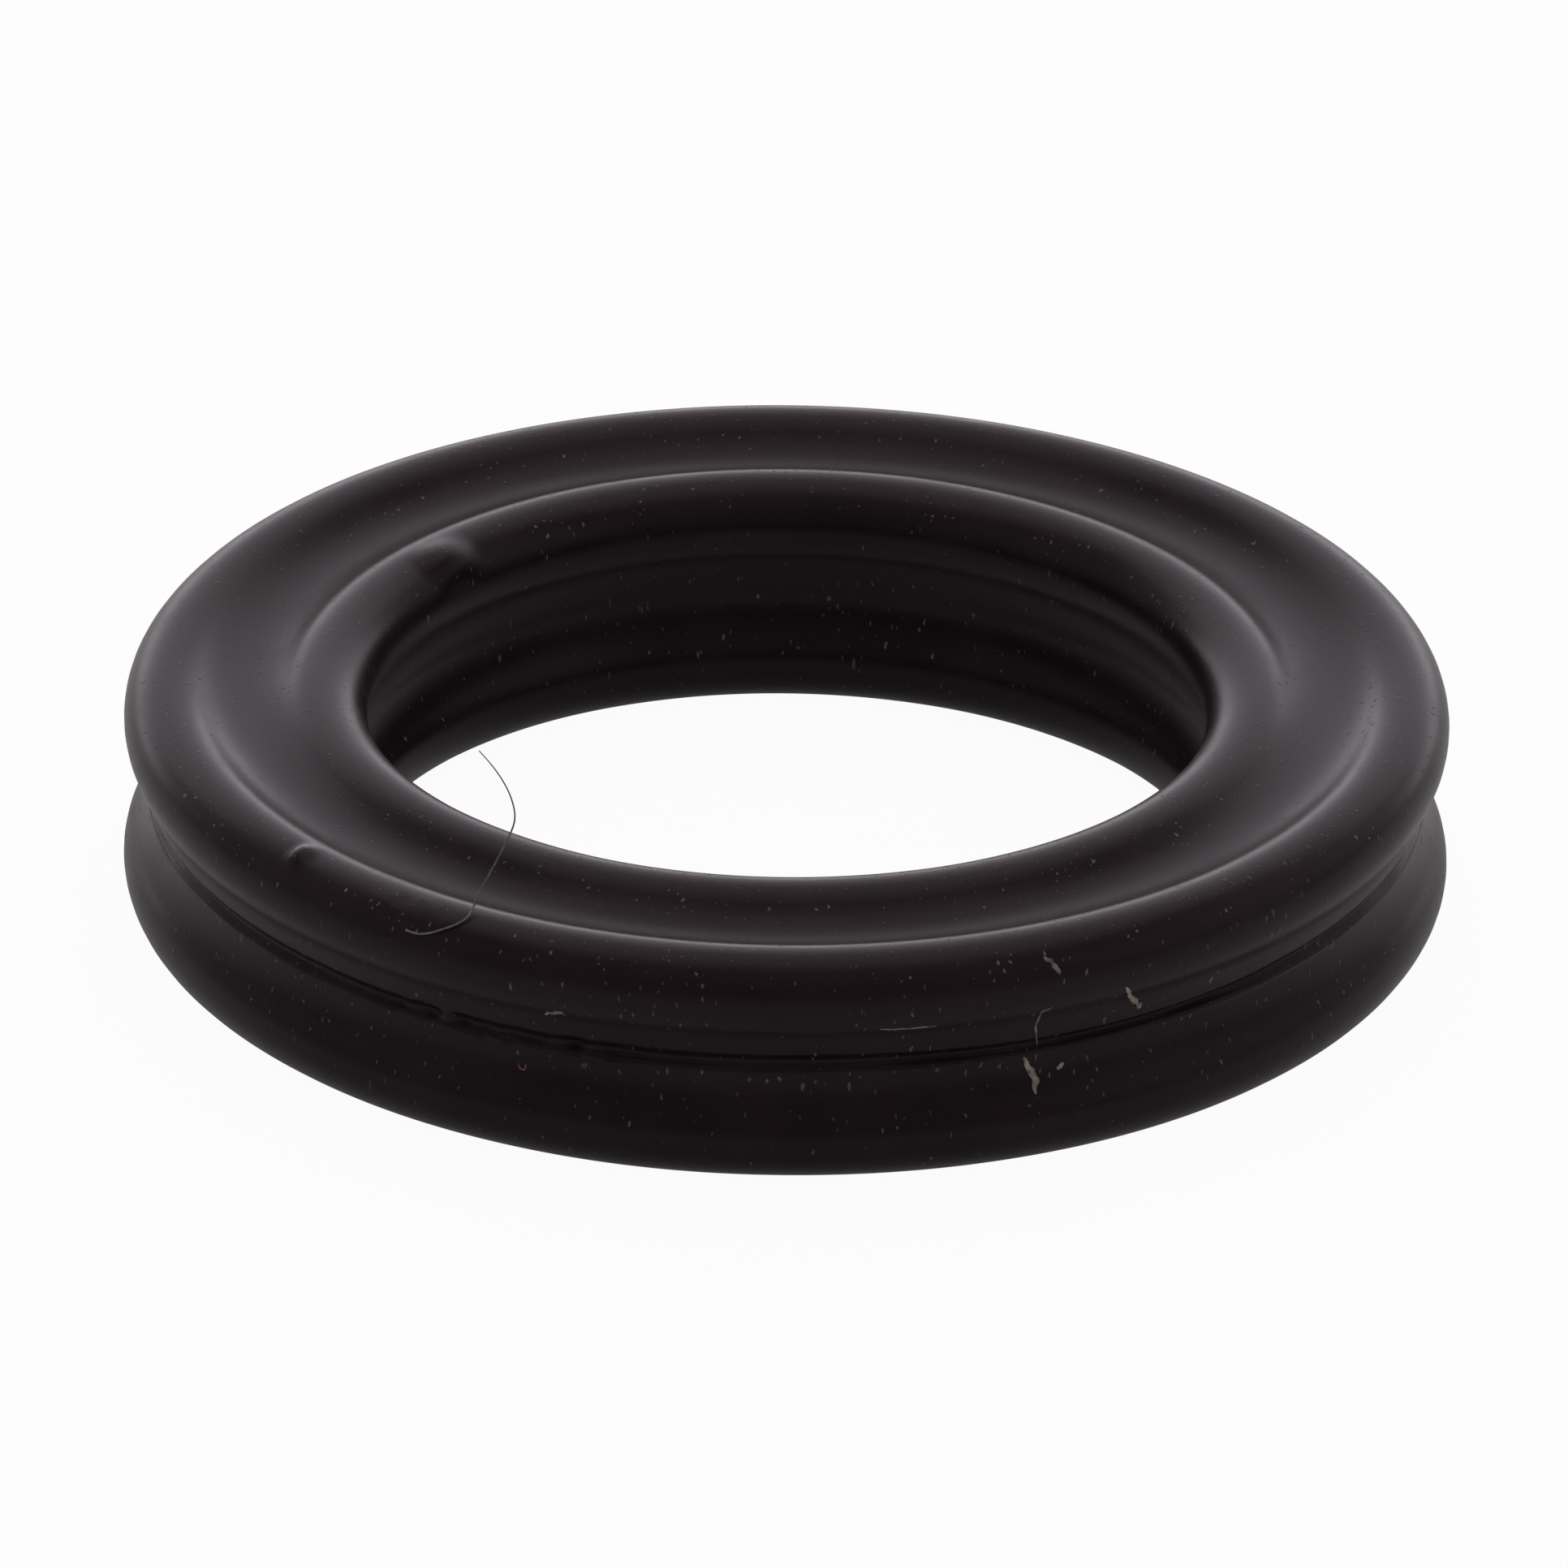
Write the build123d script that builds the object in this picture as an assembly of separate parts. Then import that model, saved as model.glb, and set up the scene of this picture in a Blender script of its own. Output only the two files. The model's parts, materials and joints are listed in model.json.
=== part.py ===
from build123d import *
from math import cos, degrees, radians, sin, sqrt
import os

# Quad ring seal: one moulded rubber ring whose square section has a round lobe at each
# corner and a hollow trough along each side. The ring's axis is Z, and the origin is the
# ring's centre, on the mould's parting plane. All sizes are in millimetres.

# The ring and its section
bore_diameter = 18.42  # across the crests of the inner lobes
section_width = 5.33  # radial, from inner crest to outer crest
section_height = 5.33  # axial, from lower crest to upper crest
lobe_radius = 1.02
land_width = 0.12  # the narrow true band along each lobe's crest, which seals
side_trough_depth = 0.50  # the troughs in the bore side and the outer side
face_trough_depth = 0.60  # the troughs in the upper and lower faces

# Flash left along the mould's parting line, in the bore trough and the outer trough
flash_radius = 0.07

# Moulding marks that stand proud of the upper lobes, on the shoulder between two lands:
# the angle round the ring, the length along it, the bead's radius and how far it stands
gate_mark = dict(inner=True, angle=141.0, length=1.24, radius=0.40, height=0.19)
tear_nib = dict(inner=False, angle=224.0, length=0.22, radius=0.16, height=0.12)

# Worked out from the sizes above
bore_radius = bore_diameter / 2
middle_radius = bore_radius + section_width / 2
half_width = section_width / 2
half_height = section_height / 2
crest_inset = sqrt(lobe_radius**2 - (land_width / 2) ** 2)  # crest to lobe centre
lobe_x = half_width - crest_inset
lobe_y = half_height - crest_inset


def trough_radius(half_spacing, depth):
    """Radius of the arc that is that deep and tangent to two lobes that far from its middle."""
    reach = half_spacing**2 + (crest_inset - depth) ** 2 - lobe_radius**2
    return reach / (2 * (lobe_radius - crest_inset + depth))


side_trough_radius = trough_radius(lobe_y, side_trough_depth)
face_trough_radius = trough_radius(lobe_x, face_trough_depth)
side_trough_x = half_width - side_trough_depth + side_trough_radius
face_trough_y = half_height - face_trough_depth + face_trough_radius


def toward(start, target, distance):
    """The point that far from start on the way to target."""
    return start + (target - start).normalized() * distance


def lobe_arc(centre, start, end):
    """The arc of a lobe's circle from start to end."""
    return ThreePointArc(start, toward(centre, (start + end) / 2, lobe_radius), end)


def lobe_edges(side, face):
    """One lobe's outline, from the side trough's end to the face trough's end."""
    centre = Vector(side * lobe_x, face * lobe_y)
    half_land = land_width / 2
    side_trough_end = toward(centre, Vector(side * side_trough_x, 0), lobe_radius)
    side_land_low = Vector(side * half_width, face * (lobe_y - half_land))
    side_land_high = Vector(side * half_width, face * (lobe_y + half_land))
    face_land_outer = Vector(side * (lobe_x + half_land), face * half_height)
    face_land_inner = Vector(side * (lobe_x - half_land), face * half_height)
    face_trough_end = toward(centre, Vector(0, face * face_trough_y), lobe_radius)
    return [
        lobe_arc(centre, side_trough_end, side_land_low),
        Line(side_land_low, side_land_high),
        lobe_arc(centre, side_land_high, face_land_outer),
        Line(face_land_outer, face_land_inner),
        lobe_arc(centre, face_land_inner, face_trough_end),
    ]


def side_trough(side):
    """The trough's arc between the two lobes on the bore side (-1) or the outer side (1)."""
    end = toward(Vector(side * lobe_x, lobe_y), Vector(side * side_trough_x, 0), lobe_radius)
    bottom = Vector(side * (half_width - side_trough_depth), 0)
    return ThreePointArc(end, bottom, Vector(end.X, -end.Y))


def face_trough(face):
    """The trough's arc between the two lobes on the lower face (-1) or the upper face (1)."""
    end = toward(Vector(lobe_x, face * lobe_y), Vector(0, face * face_trough_y), lobe_radius)
    bottom = Vector(0, face * (half_height - face_trough_depth))
    return ThreePointArc(end, bottom, Vector(-end.X, end.Y))


def section():
    """The section, centred on its own middle, with the flash on both side troughs."""
    edges = []
    for side in (1, -1):
        edges.append(side_trough(side))
        for face in (1, -1):
            edges += lobe_edges(side, face)
    for face in (1, -1):
        edges.append(face_trough(face))
    outline = make_face(edges)
    for side in (1, -1):
        outline += Pos(side * (half_width - side_trough_depth), 0) * Circle(flash_radius)
    return outline


def shoulder_bead(inner, angle, length, radius, height):
    """A round-ended bead along the shoulder of the upper inner or upper outer lobe."""
    side = -1 if inner else 1
    sink = (lobe_radius + height - radius) * sqrt(0.5)
    path_radius = middle_radius + side * (lobe_x + sink)
    path_height = lobe_y + sink
    sweep_angle = degrees(length / path_radius)
    start_angle = angle - sweep_angle / 2
    round_section = Plane.XZ * Pos(path_radius, path_height) * Circle(radius)
    bead = revolve(Rot(0, 0, start_angle) * round_section, Axis.Z, sweep_angle)
    for end_angle in (start_angle, start_angle + sweep_angle):
        x = path_radius * cos(radians(end_angle))
        y = path_radius * sin(radians(end_angle))
        bead += Pos(x, y, path_height) * Sphere(radius)
    return bead


def seal_ring():
    """The whole moulded ring."""
    ring = revolve(Plane.XZ * Pos(middle_radius, 0) * section(), Axis.Z)
    for mark in (gate_mark, tear_nib):
        ring += shoulder_bead(**mark)
    return ring


os.makedirs("parts", exist_ok=True)
export_step(seal_ring(), "parts/seal_ring.step")
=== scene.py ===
import json
import math

import bpy
from mathutils import Euler, Matrix, Vector, noise


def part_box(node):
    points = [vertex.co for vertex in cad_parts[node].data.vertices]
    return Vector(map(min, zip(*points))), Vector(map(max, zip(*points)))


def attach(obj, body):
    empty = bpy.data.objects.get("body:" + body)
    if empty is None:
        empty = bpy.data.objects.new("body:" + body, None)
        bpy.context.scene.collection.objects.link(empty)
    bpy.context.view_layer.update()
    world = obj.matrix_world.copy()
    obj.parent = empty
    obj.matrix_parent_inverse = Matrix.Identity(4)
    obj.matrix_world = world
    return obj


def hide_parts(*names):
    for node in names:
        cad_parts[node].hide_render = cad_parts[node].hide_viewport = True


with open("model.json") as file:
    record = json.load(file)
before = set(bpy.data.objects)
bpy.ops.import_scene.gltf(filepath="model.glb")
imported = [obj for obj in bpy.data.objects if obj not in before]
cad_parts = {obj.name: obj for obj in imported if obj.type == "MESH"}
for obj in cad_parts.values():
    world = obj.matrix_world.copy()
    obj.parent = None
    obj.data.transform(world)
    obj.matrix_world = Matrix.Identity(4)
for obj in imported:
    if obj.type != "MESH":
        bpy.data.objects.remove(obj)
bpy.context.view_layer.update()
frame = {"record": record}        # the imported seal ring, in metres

# Lengths below are in millimetres and angles in degrees; MM turns a length into metres.
# The ring's axis is Z. An azimuth is measured round it from +X, so the camera is at -90.
MM = 0.001

# ---------------------------------------------------------------- sizes from the frame
MOUNTS = {mount["name"]: mount for mount in frame["record"]["mounts"]}
BORE_RADIUS = MOUNTS["shaft_bore"]["dims"]["r_mm"]
OUTER_RADIUS = MOUNTS["gland_wall"]["dims"]["r_mm"]
RING_LOW, RING_HIGH = (corner.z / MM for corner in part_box("seal_ring"))
HALF_HEIGHT = (RING_HIGH - RING_LOW) / 2
HALF_WIDTH = (OUTER_RADIUS - BORE_RADIUS) / 2
MIDDLE_RADIUS = (OUTER_RADIUS + BORE_RADIUS) / 2

# ---------------------------------------------------------------- the ring's section
LOBE_RADIUS = 1.02
SIDE_TROUGH_DEPTH = 0.50
FACE_TROUGH_DEPTH = 0.60
FLASH_HEIGHT = 0.07         # the parting line's ridge, in the bore trough and the outer trough
FLASH_HALF_WIDTH = 0.07
CREASE_DEPTH = 0.17         # the dark crease that the outer flash leaves along its upper side
CREASE_HALF_WIDTH = 0.13
CREASE_RISE = 0.15          # the crease's height over the parting plane
HILL_REACH = 1.5            # a ridge or a crease fades out this many half widths from its middle
RAGGED_AZIMUTH = 243.0      # where the parting line is torn and uneven
RAGGED_REACH = 24.0
NARROW_AZIMUTH = 304.0      # where the crease is at its narrowest
NARROW_REACH = 32.0
SWELL_HEIGHT = 0.006        # the slight unevenness of moulded rubber

# ---------------------------------------------------------------- moulding marks
# A shoulder is the angle up a lobe's round, from its side at 0 to its face at 90.
GATE_AZIMUTH = 141.3        # a low bead on the inner lobe's shoulder
GATE_LENGTH = 1.24
GATE_HEIGHT = 0.19
GATE_SHOULDER = 52.0
GATE_SHOULDER_REACH = 42.0
NIB_AZIMUTH = 220.7         # a small torn nib on the outer lobe's shoulder
NIB_REACH = 0.34
NIB_HEIGHT = 0.12
NIB_SHOULDER = 72.0
SCUFF_AZIMUTH = 234.5       # a wrinkled nick on the outer lobe's crest
SCUFF_LENGTH = 1.7
SCUFF_HEIGHT = 0.055
SCUFF_SHOULDER = 62.0
SHOULDER_REACH = 26.0       # of the nib and of the scuff

# ---------------------------------------------------------------- mesh density
RING_STEPS = 640
LOBE_STEPS = 18
FACE_TROUGH_STEPS = 10
SIDE_TROUGH_STEPS = 9       # on each side of the fine band along the parting line
OUTER_BAND_STEPS = 18
INNER_BAND_STEPS = 7
BAND_HALF_WIDTH = 0.42
TUFT_STEPS = 28             # along each strand of lint
TUFT_SIDES = 8

# ---------------------------------------------------------------- rubber and dust
RUBBER_DARK = (0.0092, 0.0052, 0.0050, 1)
RUBBER_PALE = (0.0130, 0.0080, 0.0078, 1)
RUBBER_ROUGHNESS = (0.30, 0.36)
RUBBER_SPECULAR = 0.14
RUBBER_TINT = (1.0, 0.86, 0.95, 1)
DUST_COLOUR = (0.15, 0.14, 0.135, 1)
# Each kind of dust: the cells it is scattered in, its size in cells, and the share with a speck
COARSE_DUST = ((0.26, 0.26, 0.85), 0.19, 0.42)
FINE_DUST = ((0.15, 0.15, 0.50), 0.22, 0.60)
LEDGE_DUST = ((0.20, 0.20, 0.36), 0.26, 0.75)
LEDGE_LOW = (-0.40, -0.20)  # the ledge under the parting line, where dust gathers, fades in here
LEDGE_HIGH = (0.00, -0.10)  # and fades out here
GRAIN_HEIGHT = 0.0022
STREAK_HEIGHT = 0.0012
DUST_HEIGHT = 0.018
TEAR_SHIFT = 0.12           # how far the specks' outlines are pulled about

# ---------------------------------------------------------------- studio
FLOOR_WHITENESS = 0.955     # how much of what the camera sees of the floor is plain white
FLOOR_SHEEN = 0.24          # how much of the white floor the ring mirrors
FLOOR_COLOUR = (0.8, 0.8, 0.8, 1)
FLOOR_HALF = 3.0            # metres
WORLD_FILL = 0.27
LIGHT_TINT = (1.0, 0.94, 1.0)
WHITE = (1, 1, 1, 1)

# Each softbox: name, azimuth and elevation from the ring in degrees, distance, width and
# height in metres, and radiance. The radiances and WORLD_FILL began as a separate script's fit.
SOFTBOXES = [
    ("back_low_softbox", 90, 6, 0.60, 1.40, 0.12, 2.50),
    ("back_softbox", 90, 18, 0.60, 1.30, 0.14, 0.85),
    ("back_high_softbox", 90, 38, 0.60, 1.00, 0.28, 1.22),
    ("top_softbox", 90, 75, 0.60, 0.60, 0.45, 1.08),
    ("front_softbox", -90, 60, 0.60, 0.60, 0.40, 0.19),
    ("left_softbox", 180, 30, 0.60, 0.90, 0.40, 0.19),
    ("right_softbox", 0, 30, 0.60, 0.90, 0.40, 0.38),
]

# ---------------------------------------------------------------- view
CAMERA_ELEVATION = 26.17
CAMERA_DISTANCE = 705.3
CAMERA_SIDESTEP = -0.044
CAMERA_ROLL = 0.62
CAMERA_LENS = 737.2
CAMERA_SENSOR = 36.0


# ================================================================ helpers
def polar(azimuth, radius, height):
    """A point in metres from an azimuth in degrees and a radius and height in millimetres."""
    turn = math.radians(azimuth)
    return Vector((radius * math.cos(turn), radius * math.sin(turn), height)) * MM


def smooth_noise(x, y=0.0, z=0.0):
    """Repeatable noise from -1 to 1."""
    return noise.noise(Vector((x, y, z)))


def bump_shape(distance, width):
    """A smooth hill, 1 at its middle and 0 at width from it."""
    ratio = min(abs(distance) / width, 1.0)
    return (1 - ratio * ratio) ** 2


def angle_gap(azimuth, other):
    """The signed angle from other to azimuth, between -180 and 180 degrees."""
    return (azimuth - other + 180) % 360 - 180


# ================================================================ the ring's section
LOBE_X = HALF_WIDTH - LOBE_RADIUS
LOBE_Y = HALF_HEIGHT - LOBE_RADIUS


def trough_radius(half_spacing, depth):
    """Radius of the arc that is that deep and tangent to two lobes that far from its middle."""
    reach = half_spacing**2 + (LOBE_RADIUS - depth) ** 2 - LOBE_RADIUS**2
    return reach / (2 * depth)


SIDE_TROUGH_RADIUS = trough_radius(LOBE_Y, SIDE_TROUGH_DEPTH)
FACE_TROUGH_RADIUS = trough_radius(LOBE_X, FACE_TROUGH_DEPTH)
SIDE_TROUGH_X = HALF_WIDTH - SIDE_TROUGH_DEPTH + SIDE_TROUGH_RADIUS
FACE_TROUGH_Y = HALF_HEIGHT - FACE_TROUGH_DEPTH + FACE_TROUGH_RADIUS
SIDE_ANGLE = math.asin(LOBE_Y / (LOBE_RADIUS + SIDE_TROUGH_RADIUS))
FACE_ANGLE = math.asin(LOBE_X / (LOBE_RADIUS + FACE_TROUGH_RADIUS))


def spread(start, stop, steps):
    """Evenly spaced values from start, leaving stop to whatever comes next."""
    return [start + (stop - start) * step / steps for step in range(steps)]


def side_trough_heights(band_steps):
    """Heights down a side trough, close together along the parting line."""
    end = LOBE_Y - LOBE_RADIUS * math.sin(SIDE_ANGLE)
    heights = spread(end, BAND_HALF_WIDTH, SIDE_TROUGH_STEPS)
    heights += spread(BAND_HALF_WIDTH, -BAND_HALF_WIDTH, band_steps)
    heights += spread(-BAND_HALF_WIDTH, -end, SIDE_TROUGH_STEPS)
    return heights


def side_trough_point(side, height):
    """A point of a side trough and its outward normal."""
    inset = math.sqrt(SIDE_TROUGH_RADIUS**2 - height**2)
    normal = (side * inset / SIDE_TROUGH_RADIUS, -height / SIDE_TROUGH_RADIUS)
    return (side * (SIDE_TROUGH_X - inset), height), normal


def lobe_point(side, face, angle):
    """A point of a lobe and its outward normal; the angle runs from the side to the face."""
    normal = (side * math.cos(angle), face * math.sin(angle))
    centre = (side * LOBE_X, face * LOBE_Y)
    return tuple(c + LOBE_RADIUS * n for c, n in zip(centre, normal)), normal


def face_trough_point(face, angle):
    """A point of a face trough and its outward normal; the angle is 0 at the middle."""
    normal = (-math.sin(angle), face * math.cos(angle))
    x = FACE_TROUGH_RADIUS * math.sin(angle)
    y = face * (FACE_TROUGH_Y - FACE_TROUGH_RADIUS * math.cos(angle))
    return (x, y), normal


def section_outline():
    """The section's points and normals, all the way round it, clockwise from the outer trough."""
    outline = []
    for height in side_trough_heights(OUTER_BAND_STEPS):
        outline.append(side_trough_point(1, height))
    for angle in spread(-SIDE_ANGLE, math.pi / 2 + FACE_ANGLE, LOBE_STEPS):
        outline.append(lobe_point(1, -1, angle))
    for angle in spread(FACE_ANGLE, -FACE_ANGLE, FACE_TROUGH_STEPS):
        outline.append(face_trough_point(-1, angle))
    for angle in spread(math.pi / 2 + FACE_ANGLE, -SIDE_ANGLE, LOBE_STEPS):
        outline.append(lobe_point(-1, -1, angle))
    for height in side_trough_heights(INNER_BAND_STEPS):
        outline.append(side_trough_point(-1, -height))
    for angle in spread(-SIDE_ANGLE, math.pi / 2 + FACE_ANGLE, LOBE_STEPS):
        outline.append(lobe_point(-1, 1, angle))
    for angle in spread(-FACE_ANGLE, FACE_ANGLE, FACE_TROUGH_STEPS):
        outline.append(face_trough_point(1, angle))
    for angle in spread(math.pi / 2 + FACE_ANGLE, -SIDE_ANGLE, LOBE_STEPS):
        outline.append(lobe_point(1, 1, angle))
    return outline


def outer_radius(height):
    """The ring's outer radius at a height between the crests of the outer lobes."""
    end = LOBE_Y - LOBE_RADIUS * math.sin(SIDE_ANGLE)
    if abs(height) <= end:
        x = SIDE_TROUGH_X - math.sqrt(SIDE_TROUGH_RADIUS**2 - height**2)
    else:
        x = LOBE_X + math.sqrt(LOBE_RADIUS**2 - (abs(height) - LOBE_Y) ** 2)
    return MIDDLE_RADIUS + x


# ================================================================ the ring's fine relief
def flash_relief(side, azimuth, height):
    """How far the parting line's flash stands out of a trough, and its crease goes in."""
    along = math.radians(angle_gap(azimuth, -90 * side)) * OUTER_RADIUS
    raggedness = bump_shape(angle_gap(azimuth, RAGGED_AZIMUTH), RAGGED_REACH)
    wander = 0.025 * smooth_noise(along * 0.35, side * 5.0)
    wander += 0.06 * raggedness * smooth_noise(along * 1.7, side * 9.0)
    worn = 0.75 + 0.35 * smooth_noise(along * 0.6, side * 3.0)
    worn += raggedness * 1.1 * smooth_noise(along * 2.6, side * 7.0)
    ridge = FLASH_HEIGHT * max(worn, 0.0)
    ridge *= bump_shape(height - wander, FLASH_HALF_WIDTH * HILL_REACH)
    if side < 0:
        return ridge
    depth = 0.9 + 0.3 * smooth_noise(along * 0.45, 17.0)
    depth += raggedness * 1.3 * smooth_noise(along * 2.2, 23.0)
    crease = CREASE_DEPTH * max(depth, 0.0)
    narrowness = bump_shape(angle_gap(azimuth, NARROW_AZIMUTH), NARROW_REACH)
    half_width = CREASE_HALF_WIDTH * (1.4 - 0.6 * narrowness)
    crease *= bump_shape(height - CREASE_RISE - wander, half_width * HILL_REACH)
    return ridge - crease


def mark_relief(side, azimuth, y, normal):
    """The gate mark, the torn nib and the scuff, on the upper lobes."""
    if y <= 0:
        return 0.0
    shoulder = math.degrees(math.atan2(normal[1], side * normal[0]))
    if side < 0:
        along = math.radians(angle_gap(azimuth, GATE_AZIMUTH)) * (MIDDLE_RADIUS - LOBE_X)
        bead = GATE_HEIGHT * bump_shape(along, GATE_LENGTH * 0.85)
        return bead * bump_shape(shoulder - GATE_SHOULDER, GATE_SHOULDER_REACH)
    along = math.radians(angle_gap(azimuth, NIB_AZIMUTH)) * OUTER_RADIUS
    nib = NIB_HEIGHT * bump_shape(along, NIB_REACH)
    nib *= bump_shape(shoulder - NIB_SHOULDER, SHOULDER_REACH)
    along = math.radians(angle_gap(azimuth, SCUFF_AZIMUTH)) * OUTER_RADIUS
    scuffed = bump_shape(along, SCUFF_LENGTH)
    scuffed *= bump_shape(shoulder - SCUFF_SHOULDER, SHOULDER_REACH)
    wrinkle = smooth_noise(along * 2.6, shoulder * 0.09, 3.0)
    return nib + SCUFF_HEIGHT * scuffed * wrinkle


def swell(azimuth, x, y):
    """The slight unevenness of moulded rubber."""
    turn = math.radians(azimuth)
    place = Vector((math.cos(turn) * 3.1, math.sin(turn) * 3.1, y * 0.35 + x * 0.2))
    return SWELL_HEIGHT * noise.noise(place)


def ring_relief(azimuth, point, normal):
    """How far the real surface stands off the plain section at one place."""
    x, y = point
    side = 1 if x > 0 else -1
    relief = swell(azimuth, x, y)
    if abs(y) < BAND_HALF_WIDTH * 1.5 and abs(x) > HALF_WIDTH - 2 * SIDE_TROUGH_DEPTH:
        relief += flash_relief(side, azimuth, y)
    if abs(x) > LOBE_X - LOBE_RADIUS:
        relief += mark_relief(side, azimuth, y, normal)
    return relief


# ================================================================ meshes
def mesh_object(name, vertices, faces):
    """A smooth-shaded mesh object at the origin."""
    mesh = bpy.data.meshes.new(name)
    mesh.from_pydata(vertices, [], faces)
    mesh.update()
    mesh.polygons.foreach_set("use_smooth", [True] * len(mesh.polygons))
    piece = bpy.data.objects.new(name, mesh)
    bpy.context.scene.collection.objects.link(piece)
    return piece


def add_ring_map(piece, steps, around):
    """A UV map of four quarter rings, two by two, so that the fine detail bakes evenly."""
    layer = piece.data.uv_layers.new(name="OFBake")
    quarter = steps // 4
    margin = 0.004
    scale = 0.5 - 2 * margin
    corners = ((0, 0), (1, 0), (1, 1), (0, 1))
    values = []
    for step in range(steps):
        patch = step // quarter
        left = 0.5 * (patch % 2) + margin
        low = 0.5 * (patch // 2) + margin
        for place in range(around):
            for across, along in corners:
                u = left + scale * (step % quarter + across) / quarter
                v = low + scale * (place + along) / around
                values += [u, v]
    layer.uv.foreach_set("vector", values)


def build_ring():
    """The moulded ring, with its flash, crease and moulding marks."""
    outline = section_outline()
    around = len(outline)
    vertices = []
    for step in range(RING_STEPS):
        azimuth = 360.0 * step / RING_STEPS
        for point, normal in outline:
            relief = ring_relief(azimuth, point, normal)
            radius = MIDDLE_RADIUS + point[0] + relief * normal[0]
            vertices.append(polar(azimuth, radius, point[1] + relief * normal[1]))
    faces = []
    for step in range(RING_STEPS):
        here = step * around
        there = (step + 1) % RING_STEPS * around
        for place in range(around):
            beyond = (place + 1) % around
            faces.append((here + place, there + place, there + beyond, here + beyond))
    ring = mesh_object("quad_ring", vertices, faces)
    ring.data.flip_normals()
    add_ring_map(ring, RING_STEPS, around)
    return ring


# ================================================================ material nodes
class Nodes:
    """Short calls that add and join shader nodes."""

    def __init__(self, tree):
        self.tree = tree
        tree.nodes.clear()

    def add(self, kind, inputs=None, **settings):
        """A new node; an input is either another node's socket or a value."""
        node = self.tree.nodes.new(kind)
        for key, value in settings.items():
            setattr(node, key, value)
        for key, value in (inputs or {}).items():
            if isinstance(value, bpy.types.NodeSocket):
                self.tree.links.new(value, node.inputs[key])
            else:
                node.inputs[key].default_value = value
        return node

    def math(self, operation, first, second=0.0):
        """A sum, product or other arithmetic of two sockets or values."""
        return self.add("ShaderNodeMath", {0: first, 1: second}, operation=operation).outputs[0]

    def scaled(self, source, scale):
        """Coordinates multiplied along each axis."""
        node = self.add("ShaderNodeMapping", {"Vector": source, "Scale": scale})
        return node.outputs["Vector"]

    def step(self, value, low, high, to_low=0.0, to_high=1.0):
        """A smooth step from to_low to to_high while the value goes from low to high."""
        inputs = {"Value": value, "From Min": low, "From Max": high}
        inputs.update({"To Min": to_low, "To Max": to_high})
        return self.add("ShaderNodeMapRange", inputs, interpolation_type="SMOOTHSTEP").outputs[0]

    def mix(self, factor, first, second):
        """A blend of two colours."""
        node = self.add("ShaderNodeMix", data_type="RGBA")
        pairs = ((node.inputs[0], factor), (node.inputs[6], first), (node.inputs[7], second))
        for socket, value in pairs:
            if isinstance(value, bpy.types.NodeSocket):
                self.tree.links.new(value, socket)
            else:
                socket.default_value = value
        return node.outputs[2]


def new_material(name):
    """An empty material and the calls that fill it."""
    material = bpy.data.materials.new(name)
    material.use_nodes = True
    return material, Nodes(material.node_tree)


def flecks(nodes, place, cell, size, share):
    """A mask of scattered specks, about size of a cell across, in that share of the cells."""
    scale = tuple(1.0 / (length * MM) for length in cell)
    voronoi = nodes.add(
        "ShaderNodeTexVoronoi",
        {"Vector": nodes.scaled(place, scale), "Scale": 1.0, "Randomness": 1.0},
    )
    parts = nodes.add("ShaderNodeSeparateColor", {"Color": voronoi.outputs["Color"]})
    radius = nodes.step(parts.outputs["Red"], 0.0, 1.0, size * 0.5, size)
    near = nodes.math("SUBTRACT", radius, voronoi.outputs["Distance"])
    speck = nodes.step(near, 0.0, size * 0.35)
    kept = nodes.math("LESS_THAN", parts.outputs["Green"], share)
    strength = nodes.step(parts.outputs["Blue"], 0.0, 1.0, 0.35, 1.0)
    return nodes.math("MULTIPLY", nodes.math("MULTIPLY", speck, kept), strength)


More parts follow.
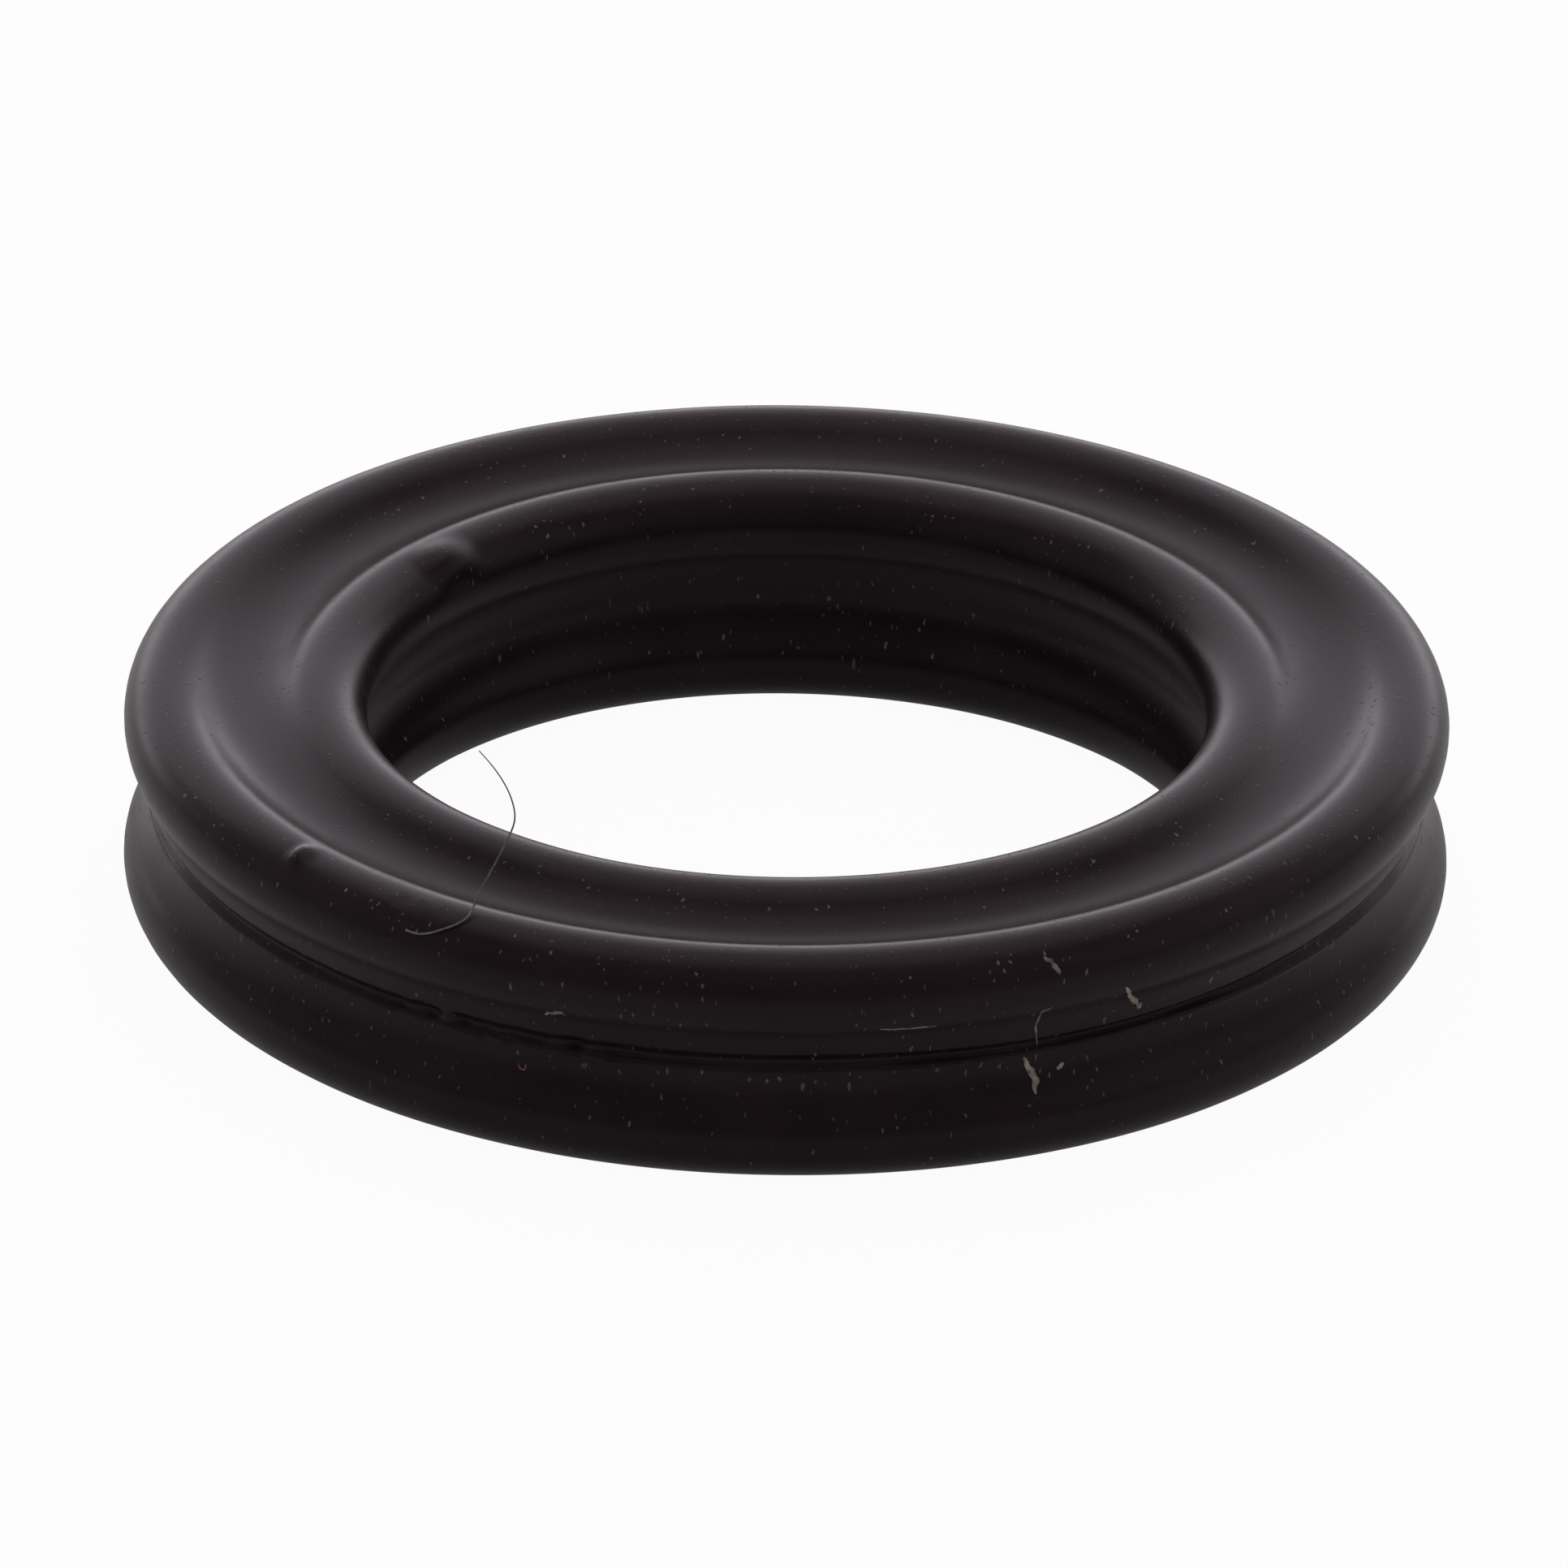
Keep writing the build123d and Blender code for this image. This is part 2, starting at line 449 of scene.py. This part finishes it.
def rubber_material():
    """Smooth moulded black rubber with a soft sheen, a fine grain, faint streaks and dust."""
    material, nodes = new_material("seal_rubber")
    place = nodes.add("ShaderNodeTexCoord").outputs["Object"]

    patches = nodes.add(
        "ShaderNodeTexNoise",
        {"Vector": place, "Scale": 420.0, "Detail": 4.0, "Roughness": 0.6},
    ).outputs["Fac"]
    grain = nodes.add(
        "ShaderNodeTexNoise",
        {"Vector": place, "Scale": 9000.0, "Detail": 3.0, "Roughness": 0.65},
    ).outputs["Fac"]
    streaks = nodes.add(
        "ShaderNodeTexNoise",
        {"Vector": nodes.scaled(place, (11000.0, 11000.0, 900.0)), "Scale": 1.0, "Detail": 2.0},
    ).outputs["Fac"]

    ragged = nodes.add(
        "ShaderNodeTexNoise",
        {"Vector": place, "Scale": 7000.0, "Detail": 2.0},
    ).outputs["Color"]
    shifted = nodes.add(
        "ShaderNodeMix", {"Factor": TEAR_SHIFT * MM}, data_type="RGBA", blend_type="ADD"
    )
    nodes.tree.links.new(place, shifted.inputs[6])
    nodes.tree.links.new(ragged, shifted.inputs[7])
    torn = shifted.outputs[2]

    coarse = flecks(nodes, torn, *COARSE_DUST)
    fine = flecks(nodes, torn, *FINE_DUST)
    dust = nodes.math("MAXIMUM", coarse, nodes.math("MULTIPLY", fine, 0.8))
    rise = nodes.add("ShaderNodeSeparateXYZ", {"Vector": place}).outputs["Z"]
    above = nodes.step(rise, LEDGE_LOW[0] * MM, LEDGE_LOW[1] * MM)
    below = nodes.step(rise, LEDGE_HIGH[0] * MM, LEDGE_HIGH[1] * MM)
    ledge = nodes.math("MULTIPLY", above, below)
    gathered = nodes.math("MULTIPLY", flecks(nodes, torn, *LEDGE_DUST), ledge)
    dust = nodes.math("MAXIMUM", dust, gathered)

    colour = nodes.mix(nodes.step(patches, 0.3, 0.7), RUBBER_DARK, RUBBER_PALE)
    colour = nodes.mix(nodes.math("MULTIPLY", dust, 0.75), colour, DUST_COLOUR)

    roughness = nodes.step(patches, 0.25, 0.75, *RUBBER_ROUGHNESS)
    roughness = nodes.math("ADD", roughness, nodes.math("MULTIPLY", dust, 0.4))

    height = nodes.math("MULTIPLY", grain, GRAIN_HEIGHT)
    height = nodes.math("ADD", height, nodes.math("MULTIPLY", streaks, STREAK_HEIGHT))
    height = nodes.math("ADD", height, nodes.math("MULTIPLY", dust, DUST_HEIGHT))
    bump = nodes.add("ShaderNodeBump", {"Height": height, "Strength": 1.0, "Distance": MM})

    shader = nodes.add(
        "ShaderNodeBsdfPrincipled",
        {"Base Color": colour, "Roughness": roughness, "Normal": bump.outputs["Normal"]},
    )
    shader.inputs["Specular IOR Level"].default_value = RUBBER_SPECULAR
    shader.inputs["Specular Tint"].default_value = RUBBER_TINT
    nodes.add("ShaderNodeOutputMaterial", {"Surface": shader.outputs["BSDF"]})
    return material


def fibre_material(name, dark, pale, roughness):
    """A thin fibre: uneven colour along it and a slight gloss."""
    material, nodes = new_material(name)
    place = nodes.add("ShaderNodeTexCoord").outputs["Object"]
    mottle = nodes.add(
        "ShaderNodeTexNoise", {"Vector": place, "Scale": 6000.0, "Detail": 3.0}
    ).outputs["Fac"]
    colour = nodes.mix(nodes.step(mottle, 0.3, 0.7), dark, pale)
    height = nodes.math("MULTIPLY", mottle, 0.01)
    bump = nodes.add("ShaderNodeBump", {"Height": height, "Distance": MM})
    shader = nodes.add(
        "ShaderNodeBsdfPrincipled",
        {"Base Color": colour, "Roughness": roughness, "Normal": bump.outputs["Normal"]},
    )
    nodes.add("ShaderNodeOutputMaterial", {"Surface": shader.outputs["BSDF"]})
    return material


def floor_material():
    """White for the camera, with a trace of shadow, and a pale matt floor that the ring mirrors."""
    material, nodes = new_material("studio_floor")
    path = nodes.add("ShaderNodeLightPath")
    seen = path.outputs["Is Camera Ray"]
    mirrored = path.outputs["Is Glossy Ray"]
    matt = nodes.add("ShaderNodeBsdfDiffuse", {"Color": FLOOR_COLOUR})
    white = nodes.add("ShaderNodeEmission", {"Color": WHITE, "Strength": 1.0})
    share = nodes.math("MULTIPLY", seen, FLOOR_WHITENESS)
    share = nodes.math("ADD", share, nodes.math("MULTIPLY", mirrored, FLOOR_SHEEN))
    shader = nodes.add(
        "ShaderNodeMixShader", {0: share, 1: matt.outputs["BSDF"], 2: white.outputs["Emission"]}
    )
    nodes.add("ShaderNodeOutputMaterial", {"Surface": shader.outputs["Shader"]})
    return material


# ================================================================ hair and lint
# The stray hair, from its end on the outer lobe up to its free tip, in millimetres. The points
# were worked out by a separate script, and some were then shifted a little.
HAIR_ROUTE = [
    (-8.18, -11.86, 2.22),
    (-7.98, -12.02, 2.19),
    (-7.75, -12.12, 2.25),
    (-7.51, -12.19, 2.35),
    (-7.25, -12.21, 2.46),
    (-7.02, -12.20, 2.55),
    (-6.81, -12.10, 2.66),
    (-6.72, -11.83, 2.78),
    (-6.61, -11.62, 3.02),
    (-6.26, -11.31, 3.55),
    (-5.96, -11.04, 4.11),
    (-5.85, -10.92, 4.35),
    (-5.84, -10.81, 4.58),
    (-5.97, -10.62, 4.97),
    (-6.25, -10.42, 5.36),
    (-6.45, -10.32, 5.57),
    (-6.64, -10.23, 5.75),
]
HAIR_RADIUS = 0.026
HAIR_TAPER = 0.55           # how much thinner the free tip is

# Lint on the outer side: each strand is (azimuth, height) points, its radius and its kind. Most
# of the points were worked out by a separate script too.
LINT_STRANDS = [
    ([(-66.2, 1.20), (-67.2, 1.11), (-67.4, 0.68), (-67.0, 0.12)], 0.019, "grey"),
    ([(-59.3, 1.34), (-58.7, 1.03), (-57.6, 0.76), (-56.8, 0.50)], 0.062, "beige"),
    ([(-68.4, -0.08), (-67.9, -0.34), (-67.3, -0.66), (-67.5, -0.93)], 0.066, "beige"),
    ([(-66.9, 2.36), (-66.3, 2.25), (-65.7, 1.98)], 0.043, "grey"),
    ([(-65.2, -0.51), (-64.8, -0.42), (-64.6, -0.36)], 0.048, "beige"),
    ([(-114.0, -0.43), (-113.7, -0.56), (-113.3, -0.57), (-113.2, -0.42)], 0.017, "red"),
    ([(-111.2, 0.97), (-110.2, 1.08), (-109.3, 1.12)], 0.043, "grey"),
    ([(-81.8, 1.14), (-79.2, 1.10), (-76.7, 1.12)], 0.021, "grey"),
]

# Each kind of lint: its dark and its pale tone
LINT_TONES = {
    "grey": ((0.07, 0.07, 0.075, 1), (0.2, 0.2, 0.21, 1)),
    "beige": ((0.11, 0.09, 0.07, 1), (0.34, 0.29, 0.23, 1)),
    "red": ((0.09, 0.03, 0.02, 1), (0.22, 0.1, 0.07, 1)),
}
HAIR_TONES = ((0.055, 0.045, 0.042, 1), (0.13, 0.115, 0.11, 1))


def build_hair():
    """One fine stray hair, standing up off the outer lobe."""
    curve = bpy.data.curves.new("stray_hair", "CURVE")
    curve.dimensions = "3D"
    curve.bevel_depth = HAIR_RADIUS * MM
    curve.bevel_resolution = 2
    curve.resolution_u = 6
    curve.use_fill_caps = True
    spline = curve.splines.new("NURBS")
    last = len(HAIR_ROUTE) - 1
    spline.points.add(last)
    for step, (spot, point) in enumerate(zip(spline.points, HAIR_ROUTE)):
        spot.co = (*(Vector(point) * MM), 1.0)
        spot.radius = 1.0 - HAIR_TAPER * (step / last) ** 2
    spline.order_u = 4
    spline.use_endpoint_u = True
    hair = bpy.data.objects.new("stray_hair", curve)
    bpy.context.scene.collection.objects.link(hair)
    return hair


def tuft_point(route, share):
    """The azimuth and height at a share of the way along a route."""
    place = share * (len(route) - 1)
    index = min(int(place), len(route) - 2)
    start, end = route[index : index + 2]
    return [a + (b - a) * (place - index) for a, b in zip(start, end)]


def add_tuft(vertices, faces, route, radius):
    """Add one ragged, flattened strand that lies on the ring's outer side."""
    first = len(vertices)
    for step in range(TUFT_STEPS):
        share = step / (TUFT_STEPS - 1)
        azimuth, height = tuft_point(route, share)
        azimuth_on, height_on = tuft_point(route, min(share + 0.02, 1.0))
        azimuth_off, height_off = tuft_point(route, max(share - 0.02, 0.0))
        run = math.radians(azimuth_on - azimuth_off) * OUTER_RADIUS
        rise = height_on - height_off
        length = math.hypot(run, rise)
        outward = polar(azimuth, 1.0, 0.0) / MM
        sideways = Vector((-outward.y, outward.x, 0)) * (rise / length)
        sideways -= Vector((0, 0, 1)) * (run / length)
        ragged = smooth_noise(azimuth * 4.1, height * 5.3, radius * 90.0)
        width = radius * (1.05 + 0.8 * ragged) * min(1.0, 7 * min(share, 1 - share) + 0.12)
        middle = polar(azimuth, outer_radius(height) + width * 0.3, height)
        middle += sideways * (MM * radius * 0.7 * smooth_noise(azimuth * 2.3, height * 3.1, 5.0))
        for corner in range(TUFT_SIDES):
            turn = math.tau * corner / TUFT_SIDES
            frayed = 1.0 + 0.55 * smooth_noise(azimuth * 6.0, height * 8.0, corner * 1.7)
            across = sideways * (math.cos(turn) * frayed)
            vertices.append(middle + (across + outward * (0.5 * math.sin(turn))) * (width * MM))
    for step in range(TUFT_STEPS - 1):
        for corner in range(TUFT_SIDES):
            here = first + step * TUFT_SIDES
            beyond = (corner + 1) % TUFT_SIDES
            there = here + TUFT_SIDES
            faces.append((here + corner, there + corner, there + beyond, here + beyond))
    last = first + (TUFT_STEPS - 1) * TUFT_SIDES
    faces.append(tuple(range(first, first + TUFT_SIDES)))
    faces.append(tuple(range(last, last + TUFT_SIDES))[::-1])


def build_lint(kind):
    """All the lint of one colour, lying on the ring's outer side."""
    vertices = []
    faces = []
    for route, radius, strand_kind in LINT_STRANDS:
        if strand_kind == kind:
            add_tuft(vertices, faces, route, radius)
    return mesh_object(f"lint_{kind}", vertices, faces)


# ================================================================ the object
def build_object():
    """The ring, its stray hair and its lint, all riding on the ring's body."""
    ring = build_ring()
    ring.data.materials.append(rubber_material())
    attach(ring, "root")
    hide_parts("seal_ring")

    hair = build_hair()
    hair.data.materials.append(fibre_material("hair_keratin", *HAIR_TONES, 0.3))
    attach(hair, "root")

    for kind, (dark, pale) in LINT_TONES.items():
        lint = build_lint(kind)
        lint.data.materials.append(fibre_material(f"lint_{kind}_fibre", dark, pale, 0.8))
        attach(lint, "root")


# ================================================================ the studio
def build_floor():
    """A wide plain floor under the ring."""
    signs = ((-1, -1), (1, -1), (1, 1), (-1, 1))
    corners = [(FLOOR_HALF * x, FLOOR_HALF * y, RING_LOW * MM) for x, y in signs]
    floor = mesh_object("floor", corners, [(0, 1, 2, 3)])
    floor.data.materials.append(floor_material())


def add_softbox(name, azimuth, elevation, distance, width, height, radiance):
    """A rectangular area light that faces the ring, of an even radiance."""
    light = bpy.data.lights.new(name, "AREA")
    light.shape = "RECTANGLE"
    light.size = width
    light.size_y = height
    light.energy = radiance * math.pi * width * height
    light.color = LIGHT_TINT
    lamp = bpy.data.objects.new(name, light)
    bpy.context.scene.collection.objects.link(lamp)
    turn = math.radians(azimuth)
    rise = math.radians(elevation)
    flat = math.cos(rise)
    direction = Vector((flat * math.cos(turn), flat * math.sin(turn), math.sin(rise)))
    lamp.location = direction * distance
    lamp.rotation_euler = direction.to_track_quat("Z", "Y").to_euler()
    lamp.visible_camera = False


def build_world():
    """White for the camera and a soft grey fill for everything else."""
    world = bpy.data.worlds.new("studio_world")
    world.use_nodes = True
    bpy.context.scene.world = world
    nodes = Nodes(world.node_tree)
    seen = nodes.add("ShaderNodeLightPath").outputs["Is Camera Ray"]
    fill = nodes.add("ShaderNodeBackground", {"Color": (*LIGHT_TINT, 1), "Strength": WORLD_FILL})
    white = nodes.add("ShaderNodeBackground", {"Color": WHITE, "Strength": 1.0})
    both = {0: seen, 1: fill.outputs["Background"], 2: white.outputs["Background"]}
    shader = nodes.add("ShaderNodeMixShader", both)
    nodes.add("ShaderNodeOutputWorld", {"Surface": shader.outputs["Shader"]})


def build_camera():
    """A long lens that looks down at the ring's centre."""
    data = bpy.data.cameras.new("camera")
    data.lens = CAMERA_LENS
    data.sensor_width = CAMERA_SENSOR
    data.clip_start = 0.01
    data.clip_end = 20.0
    camera = bpy.data.objects.new("camera", data)
    bpy.context.scene.collection.objects.link(camera)
    rise = math.radians(CAMERA_ELEVATION)
    away = CAMERA_DISTANCE * MM
    place = Matrix.Translation(
        (CAMERA_SIDESTEP * MM, -away * math.cos(rise), away * math.sin(rise))
    )
    look = Euler((math.radians(90 - CAMERA_ELEVATION), 0, 0)).to_matrix().to_4x4()
    roll = Matrix.Rotation(math.radians(CAMERA_ROLL), 4, "Z")
    camera.matrix_world = place @ look @ roll
    bpy.context.scene.camera = camera


def build_studio():
    """The floor, the lights and the camera."""
    build_floor()
    build_world()
    for softbox in SOFTBOXES:
        add_softbox(*softbox)
    build_camera()
    bpy.context.scene.view_settings.view_transform = "Standard"


build_studio()
build_object()
